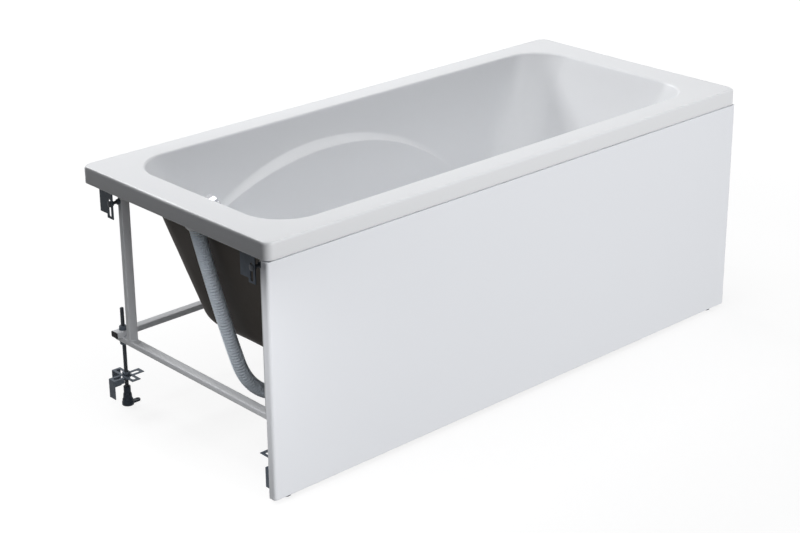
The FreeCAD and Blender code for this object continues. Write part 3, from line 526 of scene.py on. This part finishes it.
# along x: the height of the armrest arch, a circle's, and how far the wall below it stands in, which fades
# as the square of one minus the square of the share of its reach
def armrest(x):
    reach = np.clip((x - tub["archX"]) / tub["armReach"], -1, 1)
    rise = np.sqrt(tub["archRadius"] ** 2 - (reach * tub["armReach"]) ** 2)
    crown = rimTop - tub["archDrop"] - tub["archRadius"]
    return crown + rise, tub["armDepth"] * (1 - reach ** 2) ** 2


# control loops of one face of the basin, from the step of the arch down to the floor;
# the walls lean, so the arch's height at a wall point is found in a few passes
def basinLoops(off):
    z = np.full(columns.shape[1], rimTop - tub["archDrop"])
    for _ in range(tub["archPasses"]):
        z, inset = armrest(wallLoop(z, off)[:, 0])
    z = z - off
    return wallLoop(z, off), wallLoop(z - tub["ledgeDrop"], off, inset), wallLoop(floorZ - off, off, inset)


# a circle about the drain, each point on the spoke to its floor point
def drainLoop(floorLoop, z):
    spoke = floorLoop[:, :2] - (drainX, 0)
    spoke *= tub["drainHole"] / np.linalg.norm(spoke, axis=1, keepdims=True)
    return np.column_stack([spoke + (drainX, 0), np.full(len(spoke), z)])


def rimLoop(inset, z):
    return loopAt(columns, tubLow[0] + inset, tubHigh[0] - inset, tubLow[1] + inset, tubHigh[1] - inset,
                  max(tub["rimCorner"] - inset, tub["leastCorner"]), z)


# the basin's mouth at the rim, moved out
def lipLoop(out, z):
    loop = wallLoop(rimTop, out)
    loop[:, 2] = z
    return loop


# a closed profile carried round the basin: up the skirt, over the rim, down to the drain and back underneath
def makeTub():
    wall = tub["wall"]
    lipTop = rimTop - tub["lipDrop"]
    ledge, shoulder, floorEdge = basinLoops(0)
    ledgeBack, shoulderBack, floorBack = basinLoops(wall)
    # loop, radius of its corner, rows on the corner, rows on the run after it
    profile = (
        (rimLoop(0, skirtFoot), tub["footRound"], 3, 3),
        (rimLoop(0, rimTop), tub["rimEdge"], 10, 6),
        (lipLoop(tub["lipBand"], rimTop), tub["bandRound"], 4, 1),
        (lipLoop(tub["lipBand"] - tub["lipStep"], lipTop), tub["bandRound"], 4, 4),
        (lipLoop(0, lipTop), tub["lipRound"], 12, 12),
        (ledge, tub["hollow"], 12, 3),
        (shoulder, tub["armRound"], 8, 14),
        (floorEdge, tub["floorRound"], 12, 12),
        (drainLoop(floorEdge, floorZ), tub["holeRound"], 3, 0),
        (drainLoop(floorEdge, floorZ - wall), tub["backHole"], 2, 6),
        (floorBack, tub["floorRound"], 6, 8),
        (shoulderBack, tub["backArm"], 4, 2),
        (ledgeBack, tub["backLedge"], 4, 6),
        (lipLoop(wall, rimTop - wall), tub["backLip"], 3, 2),
        (rimLoop(wall, rimTop - wall), tub["backRim"], 3, 2),
        (rimLoop(wall, skirtFoot), tub["backFoot"], 2, 0),
    )
    shell = Shell().grid(roundedRows(profile), closedRows=True)
    settle("tub_shell", shell.mesh("tubShell", tub["sharp"]))


# resin layer: follows the basin's outside, and its face wanders by a fraction of a millimetre
resin = dict(thick=5, gap=0.15, topGap=0.2, topRound=0.3, edgeRound=2, ledgeRound=20, armRound=5, floorMore=4,
             holeRound=0.5, backArm=6, backLedge=14, uneven=0.18, longX=37, longY=33,
             swirl=1.3, swirlZ=41, leanZ=29, fineShare=0.5, fine=(13, 17, 15), sharp=50)


def makeResin():
    inner = tub["wall"] + resin["gap"]
    outer = tub["wall"] + resin["thick"]
    top = rimTop - tub["wall"] - resin["topGap"]
    ledge, shoulder, floorEdge = basinLoops(outer)
    ledgeIn, shoulderIn, floorIn = basinLoops(inner)
    # loop, radius of its corner, rows on the corner, rows on the run after it
    rows = roundedRows((
        (wallLoop(top, inner), resin["topRound"], 2, 0),
        (wallLoop(top, outer), resin["edgeRound"], 3, 22),
        (ledge, resin["ledgeRound"], 9, 3),
        (shoulder, resin["armRound"], 7, 24),
        (floorEdge, tub["floorRound"] + resin["floorMore"], 12, 18),
        (drainLoop(floorEdge, floorZ - outer), resin["holeRound"], 2, 0),
        (drainLoop(floorEdge, floorZ - inner), resin["holeRound"], 2, 4),
        (floorIn, tub["floorRound"], 5, 6),
        (shoulderIn, resin["backArm"], 4, 2),
        (ledgeIn, resin["backLedge"], 4, 4),
    ))
    # a product of two long sines plus a share of a fine one, as a cut towards the middle
    x, y, z = rows[..., 0], rows[..., 1], rows[..., 2]
    broad = (np.sin(x / resin["longX"] + resin["swirl"] * np.sin(z / resin["swirlZ"]))
             * np.sin(y / resin["longY"] + z / resin["leanZ"]))
    wave = broad + resin["fineShare"] * np.sin((rows / resin["fine"]).sum(-1))
    cut = resin["uneven"] * (1 + wave / (1 + resin["fineShare"]))
    rows = rows - cut[..., None] * np.sign(rows) * (1, 1, 0)
    settle("resin_backing", Shell().grid(rows, closedRows=True).mesh("resinBacking", resin["sharp"]))


makeTub()
makeResin()
print("basin: tub and resin,", columns.shape[1], "columns")

# frame tube: a rounded rectangle carried straight, open at both ends
tube = dict(corner=3.2, wall=1.5, cornerSteps=6, sideSteps=1, sharp=40)


def tubeRows(low, high):
    way = int(np.argmax(high - low))
    a, b = (way + 1) % 3, (way + 2) % 3
    sides = loopColumns(tube["cornerSteps"], tube["sideSteps"], tube["sideSteps"])
    rows = []
    for inset, ends in ((0, (low[way], high[way])), (tube["wall"], (high[way], low[way]))):
        for end in ends:
            flat = loopAt(sides, low[a] + inset, high[a] - inset, low[b] + inset, high[b] - inset,
                          tube["corner"] - inset, 0.0)
            loop = np.zeros_like(flat)
            loop[:, a] = flat[:, 0]
            loop[:, b] = flat[:, 1]
            loop[:, way] = end
            rows.append(loop)
    return np.stack(rows)


def makeTubes():
    tubes = [node for node in slotOf if slotOf[node] == "painted_frame"]
    for node in tubes:
        shell = Shell()
        for low, high in solidBoxes(node):
            shell.grid(tubeRows(low, high), closedRows=True)
        settle(node, shell.mesh(pieceName(node), tube["sharp"]))
    print("tubes:", len(tubes))


makeTubes()


def turns(sides):
    return np.linspace(0, fullTurn, sides, endpoint=False)


# a unit circle in the plane of two directions
def circle(turn, side, other):
    return np.cos(turn)[..., None] * side + np.sin(turn)[..., None] * other


# weld beads: a round bead along a line, its radius rippled by a sine and tapered at both ends
weld = dict(radius=2.0, pitch=1.7, ripple=0.35, sides=8, ripplePoints=4, taper=6, leastTaper=0.02,
            inset=2, sharp=60)


def beadRows(start, end):
    start, end = np.array(start), np.array(end)
    run = end - start
    length = np.linalg.norm(run)
    t = np.linspace(0, 1, int(length / weld["pitch"]) * weld["ripplePoints"] + 2)[:, None]
    taper = np.sqrt(np.clip(1 - (2 * t - 1) ** weld["taper"], weld["leastTaper"], 1))
    radius = taper * (weld["radius"] + weld["ripple"] * np.sin(t * length / weld["pitch"] * fullTurn))
    ring = circle(turns(weld["sides"]), np.cross(run / length, upward), upward)
    return start + run * t[..., None] + radius[..., None] * ring


def makeWelds():
    shell = Shell()
    inset = weld["inset"]
    for node in slotOf:
        if node.endswith("_post"):
            low, high = boxOf(node)
            for y in (low[1], high[1]):
                shell.grid(beadRows((low[0] + inset, y, low[2]), (high[0] - inset, y, low[2])), capped=True)
    for longTube in ("front_long_tube", "back_long_tube"):
        low, high = boxOf(longTube)
        for crossTube in ("left_cross_tube", "right_cross_tube"):
            near, far = boxOf(crossTube)
            for x in (near[0], far[0]):
                shell.grid(beadRows((x, low[1] + inset, low[2]), (x, high[1] - inset, low[2])), capped=True)
    piece = bpy.data.objects.new("weldBeads", shell.mesh("weldBeads", weld["sharp"]))
    bpy.context.scene.collection.objects.link(piece)
    piece.data.materials.append(finishes["painted_frame"])
    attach(piece, bodyOf["left_cross_tube"])
    print("welds:", len(shell.points))


makeWelds()


# two directions square to a line; spare stands in for upward where the line itself is upright
def squareTo(ahead, spare):
    side = np.cross(ahead, spare if np.argmax(np.abs(ahead)) == 2 else upward)
    side /= np.linalg.norm(side)
    return side, np.cross(ahead, side)


# threads: a helix of triangular section, worked out from height and turn, with chamfered ends
thread = dict(rodPitch=1.5, boltPitch=1.25, deep=0.62, flank=1.25, flat=0.125, rows=6, sides=20, chamfer=1.2,
              sharp=60)


def threadRows(start, end, radius, pitch):
    run = end - start
    length = np.linalg.norm(run)
    ahead = run / length
    s = np.linspace(0, length, int(length / pitch * thread["rows"]))[:, None]
    turn = turns(thread["sides"])
    tooth = np.abs(2 * ((s / pitch - turn / fullTurn) % 1) - 1)
    r = radius - thread["deep"] * pitch * np.clip(thread["flank"] * tooth - thread["flat"], 0, 1)
    r = np.minimum(r, radius - thread["chamfer"] + np.minimum(s, length - s))
    ring = circle(turn, *squareTo(ahead, along))
    return start + s[..., None] * ahead + r[..., None] * ring


# nuts: the lesser of a hexagon's reach and a cone that opens from each end, round a plain hole
nut = dict(rod=(17, 4.4), bolt=(13, 3.4), crown=0.48, cone=1.7, sides=48, sharp=30,
           levels=(0, 0, 0.03, 0.06, 0.1, 0.16, 0.84, 0.9, 0.94, 0.97, 1, 1))


def hexRows(start, end, flats, hole):
    high = np.linalg.norm(end - start)
    ahead = (end - start) / high
    turn = turns(nut["sides"])
    sixth = fullTurn / 6
    flat = flats / 2 / np.cos((turn + sixth / 2) % sixth - sixth / 2)
    up = np.array(nut["levels"])
    cone = flats * nut["crown"] + np.minimum(up, 1 - up) * high * nut["cone"]
    reach = np.minimum(flat[None, :], cone[:, None])
    reach[0] = reach[-1] = hole
    ring = circle(turn, *squareTo(ahead, across))
    return start + (up * high)[:, None, None] * ahead + reach[..., None] * ring


# the two ends of a nut's or rod's axis, from its box
def axisOf(low, high, way):
    middle = (low + high) / 2
    start, end = middle.copy(), middle.copy()
    start[way], end[way] = low[way], high[way]
    return start, end


def makeNuts(node, size):
    shell = Shell()
    for low, high in solidBoxes(node):
        way = int(np.argmin(high - low))
        shell.grid(hexRows(*axisOf(low, high, way), *size), closedRows=True)
    settle(node, shell.mesh(pieceName(node), nut["sharp"]))


# levelling legs: threaded rod, nuts, and softened copies of the clips and the foot
legs = dict(clipSoft=0.5, footSoft=0.8, footSharp=25)


def makeLegs():
    names = [body.removesuffix("_leg") for body in frame["bodies"] if body.endswith("_leg")]
    for leg in names:
        rod = leg + "_rod"
        low, high = boxOf(rod)
        rows = threadRows(*axisOf(low, high, 2), (high[0] - low[0]) / 2, thread["rodPitch"])
        settle(rod, Shell().grid(rows, capped=True).mesh(pieceName(rod), thread["sharp"]))
        makeNuts(leg + "_clip_nuts", nut["rod"])
        dressedCopy(leg + "_end_clip", legs["clipSoft"])
        dressedCopy(leg + "_side_clip", legs["clipSoft"])
        dressedCopy(leg + "_foot", legs["footSoft"], legs["footSharp"])
    print("legs:", len(names))


makeLegs()
makeNuts("frame_nuts", nut["rod"])
makeNuts("hanger_nuts", nut["bolt"])

# hanger bolts: a thread with a low domed head at its outer end
bolt = dict(radius=4, headRadius=8, headHigh=3, headRound=2.6, headTip=0.012, sides=32, sharp=50,
            levels=(0, 0.08, 0.3, 0.55, 0.78, 0.92, 0.985, 1.0))


# the head's radius falls with height much as an ellipse does
def domeRows(foot, ahead):
    lift = np.array(bolt["levels"])
    reach = bolt["headRadius"] * np.sqrt(np.clip(1 - lift ** bolt["headRound"], bolt["headTip"], 1))
    ring = circle(turns(bolt["sides"]), *squareTo(ahead, across))
    return foot + (lift * bolt["headHigh"])[:, None, None] * ahead + reach[:, None, None] * ring


def makeBolts():
    shell = Shell()
    for low, high in solidBoxes("hanger_bolts"):
        way = int(np.argmax(high - low))
        start, end = axisOf(low, high, way)
        if abs(start[way]) > abs(end[way]):
            start, end = end, start
        ahead = (end - start) / np.linalg.norm(end - start)
        foot = end - bolt["headHigh"] * ahead
        shell.grid(threadRows(start, foot, bolt["radius"], thread["boltPitch"]), capped=True)
        shell.grid(domeRows(foot, ahead), capped=True)
    settle("hanger_bolts", shell.mesh("hangerBolts", bolt["sharp"]))
    print("bolts:", len(shell.points) // 2)


makeBolts()

# copies of CAD solids, each with the width of its softened edges
softened = dict(front_panel=0.0, end_hangers=0.4, panel_hangers=0.4, frame_washers=0.3, tube_end_caps=0.6,
                base_board=0.5, board_screws=0.3, overflow_gasket=0.4, overflow_body=0.6, overflow_cover=0.5,
                drain_flange=0.6, drain_gasket=0.4, drain_body=0.6, trap_bend=0.0, waste_outlet=0.5,
                slip_nuts=0.6, hose_nut=0.6, cleanout_cap=0.8, drain_plug=0.0, rim_battens=0.8)
for node, soften in softened.items():
    dressedCopy(node, soften)
print("copies:", len(softened))

# overflow knob: a fluted cup turned about its shaft, with a dished face
knob = dict(foot=9, top=37, footRadius=27, faceRadius=24, edge=6, wall=3, dish=2, flutes=9, fluteDeep=3.4,
            fluteShare=0.2, fluteFade=0.5, boreStep=2, tip=0.4, shaft=4, shaftSeat=0.5, tail=-10, sides=144,
            coneRows=12, bendRows=10, faceRows=10, sharp=40)
turnJoint = next(joint for joint in record["behaviour"]["joints"] if joint["name"] == "overflow_turn")


# rings about the knob's shaft, each at its own height and radius
def knobRings(height, radius):
    axis = np.array(turnJoint["axis"])
    ring = circle(turns(knob["sides"]), across, np.cross(axis, across))
    return np.array(turnJoint["pos_m"]) / mm + height[:, None, None] * axis + radius[..., None] * ring


# outside: a cone, a quarter round and a dish; each flute is a raised cosine dip that runs out in the round
def makeKnob():
    low, high, edge, wall, sides = (knob[key] for key in ("foot", "top", "edge", "wall", "sides"))
    near = np.abs((np.linspace(0, 1, sides, endpoint=False) * knob["flutes"]) % 1 - 0.5) / knob["fluteShare"]
    flute = knob["fluteDeep"] * (0.5 + 0.5 * np.cos(np.pi * np.clip(near, 0, 1)))
    cone = np.linspace(0, 1, knob["coneRows"])
    bend = np.linspace(0, fullTurn / 4, knob["bendRows"])[1:]
    face = np.linspace(1, 0, knob["faceRows"])[1:]
    faceRim = knob["faceRadius"] - edge
    height = np.concatenate([low + cone * (high - edge - low), high - edge + edge * np.sin(bend),
                             high - knob["dish"] * (1 - face ** 2)])
    reach = np.concatenate([knob["footRadius"] + cone * (knob["faceRadius"] - knob["footRadius"]),
                            faceRim + edge * np.cos(bend), np.maximum(faceRim * face, knob["tip"])])
    cut = np.concatenate([np.ones_like(cone), np.cos(bend) ** knob["fluteFade"], np.zeros_like(face)])
    outside = knobRings(height, reach[:, None] - cut[:, None] * flute)
    roof = high - knob["dish"] - wall
    bore = np.array([knob["tip"], knob["faceRadius"] - 2 * wall - knob["boreStep"],
                     knob["footRadius"] - 2 * wall])
    inside = knobRings(np.array([roof, high - edge - wall, low]), np.repeat(bore[:, None], sides, 1))
    shell = Shell().grid(np.concatenate([inside, outside]), capped=True)
    ends = np.array([knob["tail"], roof + knob["shaftSeat"]])
    shell.grid(knobRings(ends, np.full((2, sides), knob["shaft"])), capped=True)
    settle("overflow_knob", shell.mesh("overflowKnob", knob["sharp"]))
    print("knob: flutes", knob["flutes"])


makeKnob()

# ribbed hose: rings of a wavy radius carried along a smooth route, with closer ribs above the cuff line
hose = dict(radius=18.0, bore=13.8, deep=3.6, cuffPitch=6.2, ribPitch=8.2, cuff=104, cuffWide=3.0,
            rowStep=0.7, boreStep=24, sides=48, length=648, lineSteps=48, lineOrder=3, sharp=60,
            route=((-725.4, 0, 548.8), (-666, 0, 310), (-578, 0, 40), (-415.7, 0, 42)))


def smoothLine(points, name):
    curve = bpy.data.curves.new(name, "CURVE")
    curve.dimensions = "3D"
    curve.resolution_u = hose["lineSteps"]
    spline = curve.splines.new("NURBS")
    spline.points.add(len(points) - 1)
    spline.points.foreach_set("co", np.column_stack([np.array(points) * mm, np.ones(len(points))]).ravel())
    spline.order_u = hose["lineOrder"]
    spline.use_endpoint_u = True
    guide = bpy.data.objects.new(name, curve)
    mesh = bpy.data.meshes.new_from_object(guide)
    line = np.zeros(len(mesh.vertices) * 3)
    mesh.vertices.foreach_get("co", line)
    bpy.data.objects.remove(guide)
    bpy.data.curves.remove(curve)
    bpy.data.meshes.remove(mesh)
    return line.reshape(-1, 3) / mm


# radius along the run: less a raised cosine of the distance over the pitch, and a groove at the cuff line
def ribRadius(s):
    above = np.minimum(s, hose["cuff"]) / hose["cuffPitch"]
    below = np.maximum(s - hose["cuff"], 0) / hose["ribPitch"]
    wave = 0.5 + 0.5 * np.cos((above + below) * fullTurn)
    groove = np.abs(s - hose["cuff"]) < hose["cuffWide"] / 2
    return hose["radius"] - hose["deep"] * np.where(groove, 1, wave)


def makeHose():
    line = smoothLine(hose["route"], "hoseGuide")
    step = np.concatenate([[0], np.cumsum(np.linalg.norm(np.diff(line, axis=0), axis=1))])
    s = np.linspace(0, step[-1], int(step[-1] / hose["rowStep"]))
    spots = np.column_stack([np.interp(s, step, line[:, axis]) for axis in range(3)])
    ahead = np.gradient(spots, axis=0)
    ahead /= np.linalg.norm(ahead, axis=1, keepdims=True)
    ring = circle(turns(hose["sides"]), across, np.cross(ahead, across)[:, None, :])
    outside = spots[:, None, :] + ribRadius(s)[:, None, None] * ring
    back = slice(None, None, -hose["boreStep"])
    inside = spots[back, None, :] + hose["bore"] * ring[back]
    shell = Shell().grid(np.concatenate([outside, inside]), closedRows=True)
    piece = settle("overflow_hose", shell.mesh("overflowHose", hose["sharp"]))
    print("hose: line", round(step[-1]), "mm")


makeHose()

# the photograph's viewpoint
view = dict(azimuth=-41.308, elevation=21.349, roll=-0.914, place=(-3018.5, -3176.1, 2069.4),
            focalPixels=1831.7, shiftX=0.05, shiftY=-0.05, frameWidth=800, sensor=36, farClip=100)


def makeCamera():
    azimuth, elevation, roll = (math.radians(view[key]) for key in ("azimuth", "elevation", "roll"))
    back = Vector((math.sin(azimuth) * math.cos(elevation), -math.cos(azimuth) * math.cos(elevation),
                   math.sin(elevation)))
    right = Vector((math.cos(azimuth), math.sin(azimuth), 0))
    up = back.cross(right)
    turned = right * math.cos(roll) + up * math.sin(roll)
    lifted = up * math.cos(roll) - right * math.sin(roll)
    camera = bpy.data.cameras.new("photoCamera")
    camera.sensor_width = view["sensor"]
    camera.lens = view["focalPixels"] / view["frameWidth"] * view["sensor"]
    camera.shift_x = view["shiftX"]
    camera.shift_y = view["shiftY"]
    camera.clip_end = view["farClip"]
    eye = bpy.data.objects.new("photoCamera", camera)
    bpy.context.scene.collection.objects.link(eye)
    matrix = Matrix((turned, lifted, back)).transposed().to_4x4()
    matrix.translation = Vector(view["place"]) * mm
    eye.matrix_world = matrix
    bpy.context.scene.camera = eye


makeCamera()

# studio, in metres and watts: pale floor, white surround, soft lamps in front, behind and overhead,
# and a small one at the open end; each lamp is its name, place, aim, size and power
studio = dict(floorSize=60, floorShade=0.22, floorGlow=0.84, floorBounce=0.06, glowNear=1.3, glowFar=3.2,
              ambient=(0.012, 0.015, 0.022),
              lamps=(("lowLamp", (0.35, -4.6, 0.32), (0.1, 0, 0.34), (4.2, 0.55), 134),
                     ("frontLamp", (0.6, -4.2, 2.9), (0.2, 0, 0.5), (3.0, 1.2), 26),
                     ("sideLamp", (-1.25, -0.4, 0.575), (-1.25, -0.399, -1), (0.6, 1.0), 3.8),
                     ("backLamp", (-0.45, 5.0, 4.0), (0.1, 0, 0.6), (3.6, 1.4), 190),
                     ("overheadLamp", (0.1, 0, 3.1), (0.1, 0.001, 0), (2.8, 2.2), 47)))
white = paint(1.0)


# 1 for rays that show the background: straight from the camera, or by gloss or glass
def seenRays(f):
    camera, gloss, glass = (f.node("ShaderNodeLightPath", out=ray)
                            for ray in ("Is Camera Ray", "Is Glossy Ray", "Is Transmission Ray"))
    return camera + gloss + glass


def makeFloor():
    f = finishOf("paleFloor")
    shaded = f.node("ShaderNodeBsdfDiffuse", None, {"Color": paint(studio["floorShade"])})
    reach = f.node("ShaderNodeVectorMath", {"operation": "LENGTH"}, {0: f.place()}, out="Value")
    away = f.node("ShaderNodeMapRange", {"interpolation_type": "SMOOTHSTEP"},
                  {"Value": reach, "From Min": studio["glowNear"], "From Max": studio["glowFar"]})
    glow = f.node("ShaderNodeEmission", None, {"Color": f.mix(away, paint(studio["floorGlow"]), white)})
    lit = f.node("ShaderNodeAddShader", None, {0: shaded, 1: glow})
    bounce = f.node("ShaderNodeBsdfDiffuse", None, {"Color": paint(studio["floorBounce"])})
    f.node("ShaderNodeOutputMaterial", None,
           {"Surface": f.node("ShaderNodeMixShader", None, {0: seenRays(f), 1: bounce, 2: lit})})
    half = studio["floorSize"] / 2
    mesh = bpy.data.meshes.new("floor")
    corners = [(-half, -half, 0), (half, -half, 0), (half, half, 0), (-half, half, 0)]
    mesh.from_pydata(corners, [], [(0, 1, 2, 3)])
    mesh.materials.append(f.owner)
    floor = bpy.data.objects.new("floor", mesh)
    bpy.context.scene.collection.objects.link(floor)


def makeLight():
    world = bpy.data.worlds.new("studioWorld")
    bpy.context.scene.world = world
    f = Finish(world)
    dim = f.node("ShaderNodeBackground", None, {"Color": paint(*studio["ambient"])})
    bright = f.node("ShaderNodeBackground", None, {"Color": white})
    f.node("ShaderNodeOutputWorld", None,
           {"Surface": f.node("ShaderNodeMixShader", None, {0: seenRays(f), 1: dim, 2: bright})})
    for name, place, aim, size, power in studio["lamps"]:
        lamp = bpy.data.lights.new(name, "AREA")
        lamp.shape = "RECTANGLE"
        lamp.size, lamp.size_y = size
        lamp.energy = power
        body = bpy.data.objects.new(name, lamp)
        bpy.context.scene.collection.objects.link(body)
        body.location = place
        body.rotation_euler = (Vector(aim) - Vector(place)).to_track_quat("-Z", "Y").to_euler()
    bpy.context.scene.view_settings.view_transform = "Standard"


makeFloor()
makeLight()
print("studio: lamps", len(studio["lamps"]))
